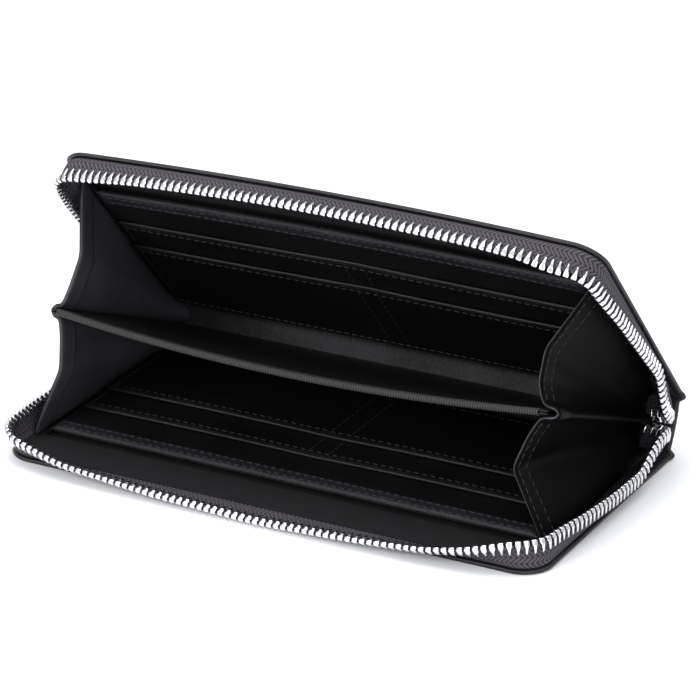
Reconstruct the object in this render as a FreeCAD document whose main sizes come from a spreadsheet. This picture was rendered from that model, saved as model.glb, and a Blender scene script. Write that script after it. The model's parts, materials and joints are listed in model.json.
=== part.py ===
"""Long zip-around wallet, standing open on its lower cover.

Two leather covers hang on a spine strip that folds along both of its long edges. A divider stands
out of the middle of the spine, and a pleated gusset closes each end. A zip runs round three sides
of each cover, and its slider is parked at the left end of the spine.

Frame: origin at the middle of the lower cover's outer face, +X along the wallet's length, +Y
towards the spine, +Z up. Every flat piece is drawn in the closed wallet, where the covers lie flat
and parallel, and then placed at the angle at which the wallet stands open.
"""

import FreeCAD
import Part
import Sketcher
import math
import os

from FreeCAD import Placement, Rotation, Vector

doc = FreeCAD.newDocument("long_wallet")

# ---------------------------------------------------------------- driving dimensions, in mm and degrees

DIMENSIONS = {
    "wallet_length": 200.0,
    "cover_depth": 100.0,
    "closed_thickness": 23.0,
    "corner_radius": 10.0,
    "fold_angle": 24.2,
    "fold_gap": 1.5,
    "leather": 1.2,
    "board": 0.5,
    "lining": 0.5,
    "board_inset": 9.0,
    "lining_inset": 2.0,
    "tape_thickness": 0.7,
    "tape_inset": 1.0,
    "tape_hem": 7.0,
    "tape_hem_thickness": 0.5,
    "tape_height": 7.4,
    "tooth_pitch": 2.6,
    "tooth_length": 0.9,
    "tooth_width": 2.6,
    "tooth_height": 4.2,
    "tooth_gap": 0.2,
    "tooth_crimp_clearance": 0.05,
    "tooth_taper": 1.6,
    "tooth_tip": 1.4,
    "right_chain_setback": 14.4,
    "left_chain_setback": 21.5,
    "stop_length": 2.4,
    "bottom_stop_gap": 0.3,
    "bill_gap": 2.5,
    "card_panel_thickness": 0.8,
    "card_panel_half": 93.5,
    "card_panel_setback": 17.5,
    "card_hem_width": 6.0,
    "card_hem_thickness": 0.6,
    "seam_setback": 92.0,
    "seam_width": 1.5,
    "slot_leather": 0.8,
    "first_row_setback": 36.0,
    "second_row_setback": 51.0,
    "spine_lining_thickness": 0.6,
    "divider_depth": 90.0,
    "divider_half": 91.6,
    "divider_leaf": 0.8,
    "divider_core": 0.6,
    "edge_binding_width": 4.5,
    "edge_binding_thickness": 0.3,
    "gusset_leather": 0.8,
    "gusset_foot_half": 95.0,
    "gusset_foot_rise": 6.0,
    "gusset_rear_setback": 9.0,
    "gusset_depth": 84.0,
    "gusset_clearance": 0.15,
    "gusset_grip": 3.5,
    "left_pleat_half": 89.0,
    "right_low_pleat_half": 80.5,
    "right_high_pleat_half": 84.0,
    "slider_length": 9.5,
    "slider_height": 6.6,
    "slider_wall": 0.8,
    "slider_channel": 3.4,
    "slider_slit": 1.1,
    "slider_setback": 3.0,
    "bail_reach": 3.0,
    "bail_wall": 0.7,
    "bail_inset": 1.5,
    "pull_length": 20.0,
    "pull_width": 6.0,
    "pull_thickness": 1.2,
    "pull_bar": 0.6,
    "pull_arm": 1.0,
    "pull_arm_reach": 7.0,
    "pull_eyelet": 1.0,
}

sheet = doc.addObject("Spreadsheet::Sheet", "Dimensions")
for row, (alias, value) in enumerate(DIMENSIONS.items(), start=1):
    sheet.set(f"A{row}", alias)
    sheet.set(f"B{row}", str(value))
    sheet.setAlias(f"B{row}", alias)
doc.recompute()


def dim(alias):
    """The value of one driving dimension, read back from the sheet."""
    return float(sheet.get(alias))


def bound(expression):
    """An expression whose dimension names point at the sheet."""
    for alias in sorted(DIMENSIONS, key=len, reverse=True):
        expression = expression.replace(alias.upper(), "Dimensions." + alias)
    return expression


# ---------------------------------------------------------------- frames of the folding parts

HALF_LENGTH = dim("wallet_length") / 2
SPINE_Y = dim("cover_depth") / 2
FOLD_Z = dim("fold_gap")
FOLD_ANGLE = dim("fold_angle")
SPINE_WIDTH = dim("closed_thickness") - 2 * FOLD_Z
MIDDLE_Z = dim("closed_thickness") / 2
X_AXIS = Vector(1, 0, 0)


def turned_about(y, z, degrees):
    """A turn about the line along X through (y, z). A negative angle opens the wallet."""
    return Placement(Vector(), Rotation(X_AXIS, degrees), Vector(0, y, z))


LOWER_COVER = Placement()
SPINE = turned_about(SPINE_Y, FOLD_Z, -FOLD_ANGLE)
UPPER_FOLD = turned_about(SPINE_Y, FOLD_Z + SPINE_WIDTH, -FOLD_ANGLE)
UPSIDE_DOWN = Placement(Vector(), Rotation(Vector(0, 1, 0), 180), Vector(0, 0, MIDDLE_Z))
UPPER_COVER = SPINE.multiply(UPPER_FOLD).multiply(UPSIDE_DOWN)

sub_parts = []


def add_sub_part(piece, label, placement):
    """Names a finished piece, puts it in place and lists it for export."""
    piece.Label = label
    piece.Placement = placement
    sub_parts.append(piece)
    return piece


# ---------------------------------------------------------------- sketch and feature helpers


def origin_plane(body, role):
    return next(o for o in body.Origin.OriginFeatures if o.Role == role)


def outline(body, name, half_width, front, back, level, radius=None):
    """A sketch parallel to XY: a rectangle symmetric about X = 0, with rounded front corners if asked.

    Every side, the radius and the sketch's level are bound to the sheet.
    """
    sketch = body.newObject("Sketcher::SketchObject", name)
    sketch.AttachmentSupport = [(origin_plane(body, "XY_Plane"), "")]
    sketch.MapMode = "FlatFace"
    sketch.setExpression("AttachmentOffset.Base.z", bound(level))
    x, y, r = 90.0, 50.0, (10.0 if radius else 0.0)
    front_line, right_line, back_line, left_line = range(4)
    sketch.addGeometry(Part.LineSegment(Vector(r - x, -y, 0), Vector(x - r, -y, 0)), False)
    sketch.addGeometry(Part.LineSegment(Vector(x, r - y, 0), Vector(x, y, 0)), False)
    sketch.addGeometry(Part.LineSegment(Vector(x, y, 0), Vector(-x, y, 0)), False)
    sketch.addGeometry(Part.LineSegment(Vector(-x, y, 0), Vector(-x, r - y, 0)), False)
    joints = [("Coincident", right_line, 2, back_line, 1), ("Coincident", back_line, 2, left_line, 1)]
    if radius:
        for side, start in ((1, -math.pi / 2), (-1, -math.pi)):
            centre = Vector(side * (x - r), r - y, 0)
            circle = Part.Circle(centre, Vector(0, 0, 1), r)
            sketch.addGeometry(Part.ArcOfCircle(circle, start, start + math.pi / 2), False)
        right_arc, left_arc = 4, 5
        joints += [
            ("Tangent", front_line, 2, right_arc, 1),
            ("Tangent", right_arc, 2, right_line, 1),
            ("Tangent", left_line, 2, left_arc, 1),
            ("Tangent", left_arc, 2, front_line, 1),
            ("Equal", right_arc, left_arc),
        ]
    else:
        joints.append(("Coincident", front_line, 2, right_line, 1))
        joints.append(("Coincident", left_line, 2, front_line, 1))
    joints += [("Horizontal", line) for line in (front_line, back_line)]
    joints += [("Vertical", line) for line in (left_line, right_line)]
    for joint in joints:
        sketch.addConstraint(Sketcher.Constraint(*joint))
    sizes = [
        ("right", ("DistanceX", -1, 1, right_line, 2, x), half_width),
        ("left", ("DistanceX", left_line, 1, -1, 1, x), half_width),
        ("back", ("DistanceY", -1, 1, back_line, 1, y), back),
        ("front", ("DistanceY", -1, 1, front_line, 1, -y), front),
    ]
    if radius:
        sizes.append(("corner_radius", ("Radius", right_arc, r), radius))
    for label, constraint, expression in sizes:
        index = sketch.addConstraint(Sketcher.Constraint(*constraint))
        sketch.renameConstraint(index, label)
        sketch.setExpression("Constraints." + label, bound(expression))
    return sketch


def pad(body, name, sketch, length):
    feature = body.newObject("PartDesign::Pad", name)
    feature.Profile = sketch
    feature.setExpression("Length", bound(length))
    doc.recompute()
    return feature


def pocket(body, name, sketch, length, upwards=True):
    """Cuts a sketch's outline out of the body, and checks that something was cut."""
    before = body.Shape.Volume
    feature = body.newObject("PartDesign::Pocket", name)
    feature.Profile = sketch
    feature.Reversed = upwards
    feature.setExpression("Length", bound(length))
    doc.recompute()
    if not body.Shape.Volume < before - 1e-6:
        raise RuntimeError(f"{name} cut nothing from {body.Name}")
    return feature


def plate(label, placement, half_width, front, back, level, thickness, radius=None):
    """A flat piece, symmetric about X = 0, whose two front corners can be rounded."""
    body = doc.addObject("PartDesign::Body", label)
    shape = outline(body, label + "_outline", half_width, front, back, level, radius)
    pad(body, label + "_pad", shape, thickness)
    return add_sub_part(body, label, placement)


# ---------------------------------------------------------------- the two covers, from the outside in

HALF = "WALLET_LENGTH / 2"
FRONT = "-COVER_DEPTH / 2"
FOLD = "COVER_DEPTH / 2 - FOLD_GAP"
TAPE_LEVEL = "LEATHER"
LINING_LEVEL = "LEATHER + BOARD"
FLOOR_LEVEL = "LEATHER + BOARD + LINING"
CARD_LEVEL = FLOOR_LEVEL + " + BILL_GAP"
FIRST_ROW_LEVEL = CARD_LEVEL + " + CARD_PANEL_THICKNESS"
SECOND_ROW_LEVEL = FIRST_ROW_LEVEL + " + SLOT_LEATHER"
SEAM = "-COVER_DEPTH / 2 + SEAM_SETBACK"


def outer_leather(side, placement):
    plate(f"{side}_outer_leather", placement, HALF, FRONT, FOLD, "0", "LEATHER", "CORNER_RADIUS")


def cover_board(side, placement):
    """The stiffener glued to the back of the leather, inside the zip tape's hem."""
    plate(
        f"{side}_cover_board",
        placement,
        HALF + " - BOARD_INSET",
        FRONT + " + BOARD_INSET",
        FOLD,
        "LEATHER",
        "BOARD",
        "CORNER_RADIUS - BOARD_INSET",
    )


def cover_lining(side, placement):
    plate(
        f"{side}_lining",
        placement,
        HALF + " - LINING_INSET",
        FRONT + " + LINING_INSET",
        FOLD,
        LINING_LEVEL,
        "LINING",
        "CORNER_RADIUS - LINING_INSET",
    )


def zip_tape(side, placement):
    """Woven tape: a hem sewn between leather and lining, and a wall that stands on the cover's edge."""
    label = f"{side}_zip_tape"
    body = doc.addObject("PartDesign::Body", label)

    def ring_outline(name, inset, back, level):
        """The tape's outer outline, drawn in by an inset."""
        grow = f"TAPE_INSET - TAPE_THICKNESS / 2 + {inset}"
        half = f"{HALF} - ({grow})"
        radius = f"CORNER_RADIUS - ({grow})"
        return outline(body, label + name, half, f"{FRONT} + {grow}", back, level, radius)

    inside_level = TAPE_LEVEL + " + TAPE_HEM_THICKNESS"
    pad(body, label + "_block", ring_outline("_outline", "0", FOLD, TAPE_LEVEL), "TAPE_HEIGHT")
    inside = ring_outline("_inside_outline", "TAPE_THICKNESS", FOLD + " + 1", inside_level)
    pocket(body, label + "_inside", inside, "TAPE_HEIGHT - TAPE_HEM_THICKNESS")
    hem = ring_outline("_hem_outline", "TAPE_HEM", FOLD + " + 1", TAPE_LEVEL)
    pocket(body, label + "_hem", hem, "TAPE_HEM_THICKNESS")
    add_sub_part(body, label, placement)


def card_panel(side, placement):
    """The panel that carries the card slots. It stands on three thin walls over the note pocket."""
    label = f"{side}_card_panel"
    body = doc.addObject("PartDesign::Body", label)
    half = "CARD_PANEL_HALF"
    front = FRONT + " + CARD_PANEL_SETBACK"
    block = outline(body, label + "_outline", half, front, SEAM, FLOOR_LEVEL)
    pad(body, label + "_block", block, "BILL_GAP + CARD_PANEL_THICKNESS")
    inner_half = half + " - SEAM_WIDTH"
    inner_back = SEAM + " - SEAM_WIDTH"
    gap = outline(body, label + "_note_outline", inner_half, front + " - 1", inner_back, FLOOR_LEVEL)
    pocket(body, label + "_note_pocket", gap, "BILL_GAP")
    hem = outline(body, label + "_hem_outline", half, front, front + " + CARD_HEM_WIDTH", FIRST_ROW_LEVEL)
    pad(body, label + "_hem", hem, "CARD_HEM_THICKNESS")
    add_sub_part(body, label, placement)


def slot_rows(side, placement):
    """Two leather layers, each one row of slots, stepped back towards the spine."""
    rows = [
        ("first", "FIRST_ROW_SETBACK", FIRST_ROW_LEVEL),
        ("second", "SECOND_ROW_SETBACK", SECOND_ROW_LEVEL),
    ]
    for name, setback, level in rows:
        plate(
            f"{side}_{name}_slot_row",
            placement,
            "CARD_PANEL_HALF",
            f"{FRONT} + {setback}",
            SEAM,
            level,
            "SLOT_LEATHER",
        )


# ---------------------------------------------------------------- the zip's teeth

TAPE_HALF_LENGTH = HALF_LENGTH - dim("tape_inset")
TAPE_FRONT_Y = -SPINE_Y + dim("tape_inset")
TAPE_RADIUS = dim("corner_radius") - dim("tape_inset")
CHAIN_TOP = MIDDLE_Z - dim("tooth_gap")
RIGHT_CHAIN_Y = SPINE_Y - dim("right_chain_setback")
LEFT_CHAIN_Y = SPINE_Y - dim("left_chain_setback")


def chain_point(travelled, start_y):
    """The point and heading on the zip line, after a distance from (right side, start_y)."""
    straight = start_y - (TAPE_FRONT_Y + TAPE_RADIUS)
    front = 2 * (TAPE_HALF_LENGTH - TAPE_RADIUS)
    corner = TAPE_RADIUS * math.pi / 2
    centre_x = TAPE_HALF_LENGTH - TAPE_RADIUS
    centre_y = TAPE_FRONT_Y + TAPE_RADIUS
    if travelled < straight:
        return Vector(TAPE_HALF_LENGTH, start_y - travelled, 0), -90.0
    travelled -= straight
    if travelled < corner:
        angle = travelled / TAPE_RADIUS
        arm = Vector(math.cos(angle), -math.sin(angle), 0) * TAPE_RADIUS
        return Vector(centre_x, centre_y, 0) + arm, -90.0 - math.degrees(angle)
    travelled -= corner
    if travelled < front:
        return Vector(centre_x - travelled, TAPE_FRONT_Y, 0), 180.0
    travelled -= front
    if travelled < corner:
        angle = travelled / TAPE_RADIUS
        arm = Vector(-math.sin(angle), -math.cos(angle), 0) * TAPE_RADIUS
        return Vector(-centre_x, centre_y, 0) + arm, 180.0 - math.degrees(angle)
    travelled -= corner
    return Vector(-TAPE_HALF_LENGTH, centre_y + travelled, 0), 90.0


def tooth(length):
    """A tooth or stop at the origin: two legs crimped astride the tape, and a tapered head above it."""
    half_width = dim("tooth_width") / 2
    half_slot = dim("tape_thickness") / 2 + dim("tooth_crimp_clearance")
    half_tip = dim("tooth_tip") / 2
    foot = CHAIN_TOP - dim("tooth_height")
    slot_top = dim("leather") + dim("tape_height") + dim("tooth_crimp_clearance")
    shoulder = CHAIN_TOP - dim("tooth_taper")
    section = [
        (-half_width, foot),
        (-half_slot, foot),
        (-half_slot, slot_top),
        (half_slot, slot_top),
        (half_slot, foot),
        (half_width, foot),
        (half_width, shoulder),
        (half_tip, CHAIN_TOP),
        (-half_tip, CHAIN_TOP),
        (-half_width, shoulder),
    ]
    points = [Vector(-length / 2, across, up) for across, up in section]
    face = Part.Face(Part.makePolygon(points + points[:1]))
    return face.extrude(Vector(length, 0, 0))


def zip_teeth(side, placement, right_end, left_end):
    """Every tooth of one chain, as separate solids along the tape's top edge."""
    straights = (right_end + left_end) - 2 * (TAPE_FRONT_Y + TAPE_RADIUS)
    length = straights + 2 * (TAPE_HALF_LENGTH - TAPE_RADIUS) + math.pi * TAPE_RADIUS
    pitch = dim("tooth_pitch")
    one = tooth(dim("tooth_length"))
    teeth = []
    for number in range(int(length / pitch)):
        point, heading = chain_point((number + 0.5) * pitch, right_end)
        copy = one.copy()
        copy.Placement = Placement(point, Rotation(Vector(0, 0, 1), heading))
        teeth.append(copy)
    chain = doc.addObject("Part::Feature", f"{side}_zip_teeth")
    chain.Shape = Part.makeCompound(teeth)
    add_sub_part(chain, f"{side}_zip_teeth", placement)


def top_stop(side, placement, hand):
    """The crimped stop between a chain's last tooth and the spine, at the wallet's right end."""
    length = dim("stop_length")
    crimp = tooth(length)
    stop_point = Vector(hand * TAPE_HALF_LENGTH, RIGHT_CHAIN_Y + length / 2, 0)
    crimp.Placement = Placement(stop_point, Rotation(Vector(0, 0, 1), 90))
    stop = doc.addObject("Part::Feature", f"{side}_top_stop")
    stop.Shape = Part.makeCompound([crimp])
    add_sub_part(stop, f"{side}_top_stop", placement)


# ---------------------------------------------------------------- spine and divider

BACK = "COVER_DEPTH / 2"
MIDDLE = "CLOSED_THICKNESS / 2"
STRIP_LEVEL = "2 * FOLD_GAP"
STRIP_WIDTH = "CLOSED_THICKNESS - 4 * FOLD_GAP"
ROOT = "COVER_DEPTH / 2 - SPINE_LINING_THICKNESS"
DIVIDER_FRONT = "COVER_DEPTH / 2 - DIVIDER_DEPTH"


def spine_strip():
    strip_half = HALF + " - TAPE_INSET"
    plate("spine_leather", SPINE, strip_half, BACK, BACK + " + LEATHER", STRIP_LEVEL, STRIP_WIDTH)
    plate("spine_lining", SPINE, "CARD_PANEL_HALF", ROOT, BACK, STRIP_LEVEL, STRIP_WIDTH)


def divider():
    """Two leather leaves on a thin core, with a binding folded over their front edge."""
    half = "DIVIDER_HALF"
    core_level = MIDDLE + " - DIVIDER_CORE / 2"
    lower_level = core_level + " - DIVIDER_LEAF"
    upper_level = MIDDLE + " + DIVIDER_CORE / 2"
    plate("divider_lower_leaf", SPINE, half, DIVIDER_FRONT, ROOT, lower_level, "DIVIDER_LEAF")
    plate("divider_core", SPINE, half + " - 2", DIVIDER_FRONT + " + 2", ROOT, core_level, "DIVIDER_CORE")
    plate("divider_upper_leaf", SPINE, half, DIVIDER_FRONT, ROOT, upper_level, "DIVIDER_LEAF")


def edge_binding():
    """A strip folded over the divider's front edge."""
    label = "divider_edge_binding"
    half = "DIVIDER_HALF - 6"
    over = "EDGE_BINDING_THICKNESS"
    body = doc.addObject("PartDesign::Body", label)
    stack = "DIVIDER_CORE + 2 * DIVIDER_LEAF"
    level = f"{MIDDLE} - ({stack}) / 2"
    back = DIVIDER_FRONT + " + EDGE_BINDING_WIDTH"
    block = outline(body, label + "_outline", half, f"{DIVIDER_FRONT} - {over}", back, f"{level} - {over}")
    pad(body, label + "_block", block, f"{stack} + 2 * {over}")
    slot = outline(body, label + "_slot_outline", half + " + 1", DIVIDER_FRONT, back + " + 1", level)
    pocket(body, label + "_slot", slot, stack)
    add_sub_part(body, label, SPINE)


# ---------------------------------------------------------------- gussets


LOW_PLEAT_SHARE = 0.48
HIGH_PLEAT_SHARE = 0.58
REAR_PLEAT_TUCK = 4.0
EDGE_LEAD = 2.0


def lower_point(x, forward, height):
    """A point given by its distance in front of the lower fold and its height over the table."""
    return Vector(x, SPINE_Y - forward, height)


def divider_point(x, forward, offset):
    """A point given by its distance in front of the spine along the divider, and off its middle."""
    return SPINE.multVec(Vector(x, SPINE_Y - forward, MIDDLE_Z + offset))


def upper_point(x, forward, height):
    """A point on the upper cover, given as on the lower one."""
    return UPPER_COVER.multVec(Vector(-x, SPINE_Y - forward, height))


def pleat_point(a, b, x, share):
    """A point between two others, moved sideways to x."""
    between = a + (b - a) * share
    return Vector(x, between.y, between.z)


def gusset_line(hand, forward_foot, forward_edge, low_pleat_x, high_pleat_x):
    """The gusset's section at one distance from the spine, from the lower cover to the upper one."""
    foot_x = dim("gusset_foot_half")
    fold_x = dim("divider_half") + 0.2 + dim("gusset_leather") / 2
    grip_x = dim("divider_half") - dim("gusset_grip")
    clearance = dim("gusset_clearance")
    face = dim("divider_core") / 2 + dim("divider_leaf") + clearance + dim("gusset_leather") / 2
    floor = dim("leather") + dim("board") + dim("lining") + clearance
    shoulder = floor + dim("gusset_foot_rise")
    low_foot = lower_point(hand * foot_x, forward_foot, floor)
    low_shoulder = lower_point(hand * foot_x, forward_foot, shoulder)
    low_grip = divider_point(hand * grip_x, forward_edge, -face)
    low_fold = divider_point(hand * fold_x, forward_edge, -face)
    high_fold = divider_point(hand * fold_x, forward_edge, face)
    high_grip = divider_point(hand * grip_x, forward_edge, face)
    high_shoulder = upper_point(hand * foot_x, forward_foot, shoulder)
    high_foot = upper_point(hand * foot_x, forward_foot, floor)
    low_pleat = pleat_point(low_shoulder, low_grip, hand * low_pleat_x, LOW_PLEAT_SHARE)
    high_pleat = pleat_point(high_shoulder, high_grip, hand * high_pleat_x, HIGH_PLEAT_SHARE)
    return [
        low_foot,
        low_shoulder,
        low_pleat,
        low_grip,
        low_fold,
        high_fold,
        high_grip,
        high_pleat,
        high_shoulder,
        high_foot,
    ]


def sheet_solid(rows, thickness):
    """A thin closed solid on both sides of a grid of points, made of plane triangles."""
    last_row = len(rows) - 1
    last = len(rows[0]) - 1

    def normal(i, j):
        along = rows[last_row][j] - rows[0][j]
        across = rows[i][min(j + 1, last)] - rows[i][max(j - 1, 0)]
        if 0 < j < last:
            before = (rows[i][j] - rows[i][j - 1]).normalize()
            after = (rows[i][j + 1] - rows[i][j]).normalize()
            lean = math.sqrt(max(0.25, (1 + before.dot(after)) / 2))
            return along.cross(before + after).normalize() / lean
        return along.cross(across).normalize()

    half = thickness / 2
    front = [[p + normal(i, j) * half for j, p in enumerate(row)] for i, row in enumerate(rows)]
    back = [[p - normal(i, j) * half for j, p in enumerate(row)] for i, row in enumerate(rows)]
    faces = []

    def quad(a, b, c, d):
        for corners in ((a, b, c), (a, c, d)):
            faces.append(Part.Face(Part.makePolygon(list(corners) + [corners[0]])))

    for i in range(last_row):
        for j in range(last):
            quad(front[i][j], front[i][j + 1], front[i + 1][j + 1], front[i + 1][j])
            quad(back[i][j], back[i + 1][j], back[i + 1][j + 1], back[i][j + 1])
        quad(front[i][0], front[i + 1][0], back[i + 1][0], back[i][0])
        quad(front[i][last], back[i][last], back[i + 1][last], front[i + 1][last])
    for j in range(last):
        quad(front[0][j], back[0][j], back[0][j + 1], front[0][j + 1])
        quad(front[last_row][j], front[last_row][j + 1], back[last_row][j + 1], back[last_row][j])
    solid = Part.Solid(Part.Shell(faces))
    if solid.Volume < 0:
        solid.reverse()
    return solid


def gusset(name, hand, low_pleat_x, high_pleat_x):
    """One end's leather: a pleat under the divider, a fold round its edge and a pleat above it.

    The pleats run in to the stated half lengths at the mouth, and less near the spine.
    """
    rear_x = dim("divider_half") - REAR_PLEAT_TUCK
    rear_forward = dim("gusset_rear_setback")
    front_forward = dim("gusset_depth")
    middle_forward = (rear_forward + front_forward) / 2
    middle_low_x = (rear_x + low_pleat_x) / 2
    middle_high_x = (rear_x + high_pleat_x) / 2
    rear = gusset_line(hand, rear_forward, rear_forward - EDGE_LEAD, rear_x, rear_x)
    middle = gusset_line(hand, middle_forward, middle_forward, middle_low_x, middle_high_x)
    front = gusset_line(hand, front_forward, front_forward + EDGE_LEAD, low_pleat_x, high_pleat_x)
    piece = doc.addObject("Part::Feature", name)
    piece.Shape = sheet_solid([rear, middle, front], dim("gusset_leather"))
    add_sub_part(piece, name, Placement())


SLIDER_CLEAR = 14.5
SPINE_CLEAR = 2.5
TAIL_CLEARANCE = 1.5
STOP_CLEARANCE = 0.5
TAIL_LIFT = 0.6
TAIL_TUCK = 3.0


def zip_tail(name, hand, forward_start, forward_end):
    """The loose tape past the last teeth, folded inwards between the two covers at the spine's end."""
    tape_x = TAPE_HALF_LENGTH - dim("tape_thickness") / 2
    height = dim("leather") + dim("tape_height") + TAIL_LIFT
    rows = []
    for forward in (forward_start, forward_end):
        low = lower_point(hand * tape_x, forward, height)
        high = upper_point(hand * tape_x, forward, height)
        tuck = divider_point(hand * (dim("divider_half") + TAIL_TUCK), forward, 0)
        rows.append([low, tuck, high])
    piece = doc.addObject("Part::Feature", name)
    piece.Shape = sheet_solid(rows, dim("tape_thickness"))
    add_sub_part(piece, name, Placement())


# ---------------------------------------------------------------- slider and pull

SLIDER_MIDDLE_Y = SPINE_Y - dim("slider_setback") - dim("slider_length") / 2
SLIDER_FACE_X = -TAPE_HALF_LENGTH - dim("slider_channel") / 2 - dim("slider_wall")
PULL_X = SLIDER_FACE_X - (dim("bail_reach") - dim("bail_wall")) / 2


def box(name, low, high):
    """A Part::Box between two corners given as expressions."""
    block = doc.addObject("Part::Box", name)
    for side, corner, far in zip(("x", "y", "z"), low, high):
        size = {"x": "Length", "y": "Width", "z": "Height"}[side]
        block.setExpression("Placement.Base." + side, bound(corner))
        block.setExpression(size, bound(f"({far}) - ({corner})"))
    return block


def slider_body():
    """A die-cast slider: two plates round a channel, slits for the tapes, a wedge and a bail."""
    line = "-WALLET_LENGTH / 2 + TAPE_INSET"
    back = "COVER_DEPTH / 2 - SLIDER_SETBACK"
    front = back + " - SLIDER_LENGTH"
    half_x = "SLIDER_CHANNEL / 2"
    half_z = "SLIDER_HEIGHT / 2"
    wall = "SLIDER_WALL"
    face = f"{line} - {half_x} - {wall}"
    block = box(
        "slider_block",
        (face, front, f"{MIDDLE} - {half_z}"),
        (f"{line} + {half_x} + {wall}", back, f"{MIDDLE} + {half_z}"),
    )
    channel = box(
        "slider_channel_cut",
        (f"{line} - {half_x}", front + " - 1", f"{MIDDLE} - {half_z} + {wall}"),
        (f"{line} + {half_x}", back + " + 1", f"{MIDDLE} + {half_z} - {wall}"),
    )
    slit = box(
        "slider_slit_cut",
        (f"{line} - SLIDER_SLIT / 2", front + " - 1", f"{MIDDLE} - {half_z} - 1"),
        (f"{line} + SLIDER_SLIT / 2", back + " + 1", f"{MIDDLE} + {half_z} + 1"),
    )
    hollow = doc.addObject("Part::Cut", "slider_channelled")
    hollow.Base = block
    hollow.Tool = channel
    slitted = doc.addObject("Part::Cut", "slider_slitted")
    slitted.Base = hollow
    slitted.Tool = slit
    wedge = box(
        "slider_wedge",
        (f"{line} - {half_x} - {wall} / 2", front, MIDDLE + " - 1"),
        (f"{line} + {half_x} + {wall} / 2", front + " + 3", MIDDLE + " + 1"),
    )
    bail = box(
        "slider_bail_block",
        (face + " - BAIL_REACH", f"{front} + BAIL_INSET", MIDDLE + " - 1"),
        (face + " + SLIDER_WALL / 2", f"{back} - BAIL_INSET", MIDDLE + " + 1"),
    )
    bail_hole = box(
        "slider_bail_hole",
        (face + " - BAIL_REACH + BAIL_WALL", f"{front} + BAIL_INSET + BAIL_WALL", MIDDLE + " - 2"),
        (face, f"{back} - BAIL_INSET - BAIL_WALL", MIDDLE + " + 2"),
    )
    loop = doc.addObject("Part::Cut", "slider_bail")
    loop.Base = bail
    loop.Tool = bail_hole
    whole = doc.addObject("Part::MultiFuse", "slider_body")
    whole.Shapes = [slitted, wedge, loop]
    whole.Refine = True
    add_sub_part(whole, "slider_body", SPINE)


def bottom_stop():
    """The crimped stop behind the slider, across both tapes."""
    line = "-WALLET_LENGTH / 2 + TAPE_INSET"
    front = "COVER_DEPTH / 2 - SLIDER_SETBACK + BOTTOM_STOP_GAP"
    low = (f"{line} - TOOTH_WIDTH / 2", front, MIDDLE + " - TOOTH_TAPER")
    high = (f"{line} + TOOTH_WIDTH / 2", f"{front} + STOP_LENGTH", MIDDLE + " + TOOTH_TAPER")
    stop = doc.addObject("Part::Compound", "bottom_stop")
    stop.Links = [box("bottom_stop_block", low, high)]
    add_sub_part(stop, "bottom_stop", SPINE)


def pull_tab():
    """A metal tab on a cross bar that turns under the slider's bail, pointing back past the spine."""
    half_width = dim("pull_width") / 2
    thickness = dim("pull_thickness")
    bar_radius = dim("pull_bar")
    bar_end = Vector(PULL_X, SLIDER_MIDDLE_Y, MIDDLE_Z - half_width)
    bar = Part.makeCylinder(bar_radius, 2 * half_width, bar_end)
    tab_start = SLIDER_MIDDLE_Y + dim("pull_arm_reach")
    round_y = SLIDER_MIDDLE_Y + dim("pull_length") - half_width
    tab_x = PULL_X - thickness / 2
    tab_corner = Vector(tab_x, tab_start, MIDDLE_Z - half_width)
    tab = Part.makeBox(thickness, round_y - tab_start, 2 * half_width, tab_corner)
    round_end = Part.makeCylinder(half_width, thickness, Vector(tab_x, round_y, MIDDLE_Z), X_AXIS)
    pieces = [tab, round_end]
    for arm_z in (MIDDLE_Z - half_width, MIDDLE_Z + half_width - dim("pull_arm")):
        corner = Vector(tab_x, SLIDER_MIDDLE_Y, arm_z)
        pieces.append(Part.makeBox(thickness, dim("pull_arm_reach") + 1, dim("pull_arm"), corner))
    hole_centre = Vector(tab_x - thickness, round_y, MIDDLE_Z)
    eyelet = Part.makeCylinder(dim("pull_eyelet"), 3 * thickness, hole_centre, X_AXIS)
    piece = doc.addObject("Part::Feature", "pull_tab")
    piece.Shape = bar.fuse(pieces).cut(eyelet).removeSplitter()
    add_sub_part(piece, "pull_tab", SPINE)


# ---------------------------------------------------------------- build, check and write

for side, placement in (("lower", LOWER_COVER), ("upper", UPPER_COVER)):
    outer_leather(side, placement)
    cover_board(side, placement)
    cover_lining(side, placement)
    zip_tape(side, placement)
    card_panel(side, placement)
    slot_rows(side, placement)
zip_teeth("lower", LOWER_COVER, RIGHT_CHAIN_Y, LEFT_CHAIN_Y)
zip_teeth("upper", UPPER_COVER, LEFT_CHAIN_Y, RIGHT_CHAIN_Y)
top_stop("lower", LOWER_COVER, 1)
top_stop("upper", UPPER_COVER, -1)
spine_strip()
divider()
edge_binding()
gusset("left_gusset", -1, dim("left_pleat_half"), dim("left_pleat_half"))
gusset("right_gusset", 1, dim("right_low_pleat_half"), dim("right_high_pleat_half"))
zip_tail("left_zip_tail", -1, SLIDER_CLEAR, dim("left_chain_setback") - TAIL_CLEARANCE)
right_tail_end = dim("right_chain_setback") - dim("stop_length") - STOP_CLEARANCE
zip_tail("right_zip_tail", 1, SPINE_CLEAR, right_tail_end)
slider_body()
bottom_stop()
pull_tab()
doc.recompute()

for item in doc.Objects:
    if {"Invalid", "Error"} & set(item.State):
        raise RuntimeError(f"{item.Label} failed: {item.State}")

os.makedirs("parts", exist_ok=True)
for piece in sub_parts:
    shape = piece.Shape
    if shape.isNull() or not shape.isValid() or not shape.Solids:
        raise RuntimeError(f"{piece.Label} has no valid solid")
    shape.exportStep(f"parts/{piece.Label}.step")
    size = shape.BoundBox
    sides = f"{size.XLength:7.1f} {size.YLength:7.1f} {size.ZLength:7.1f} mm"
    print(f"{piece.Label:26s} {sides}, {shape.Volume:10.1f} mm3")
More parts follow.
